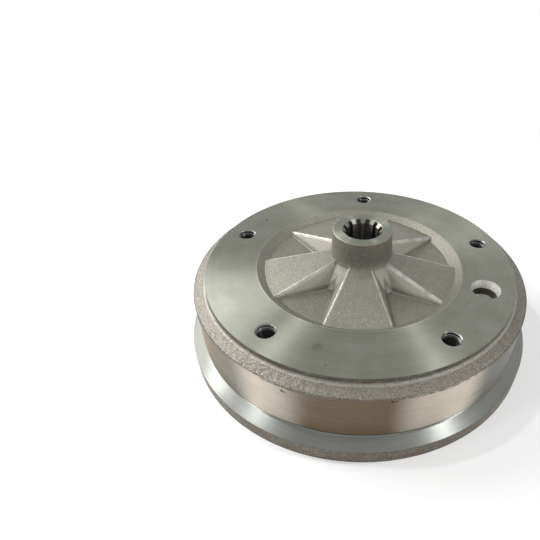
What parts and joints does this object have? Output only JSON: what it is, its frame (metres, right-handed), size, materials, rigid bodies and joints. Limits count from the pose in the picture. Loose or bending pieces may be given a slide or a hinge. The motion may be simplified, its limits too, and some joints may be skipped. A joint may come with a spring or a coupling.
{
  "type": "brake drum",
  "caption": "Rear wheel brake drum cast in one piece, with a splined hub, a star-shaped web, a turned wheel face and a grooved open rim.",
  "frame": {"origin": "on the wheel axis, in the plane of the open rim that the drum rests on", "axes": "+Z along the wheel axis and out of the hub, +Y towards the first bolt hole, +X to the right of it"},
  "size_m": [0.274, 0.274, 0.0905],
  "materials": {
    "iron": "as cast, with turned working surfaces"
  },
  "bodies": {
    "root": {"brake_drum": "iron"}
  },
  "joints": []
}
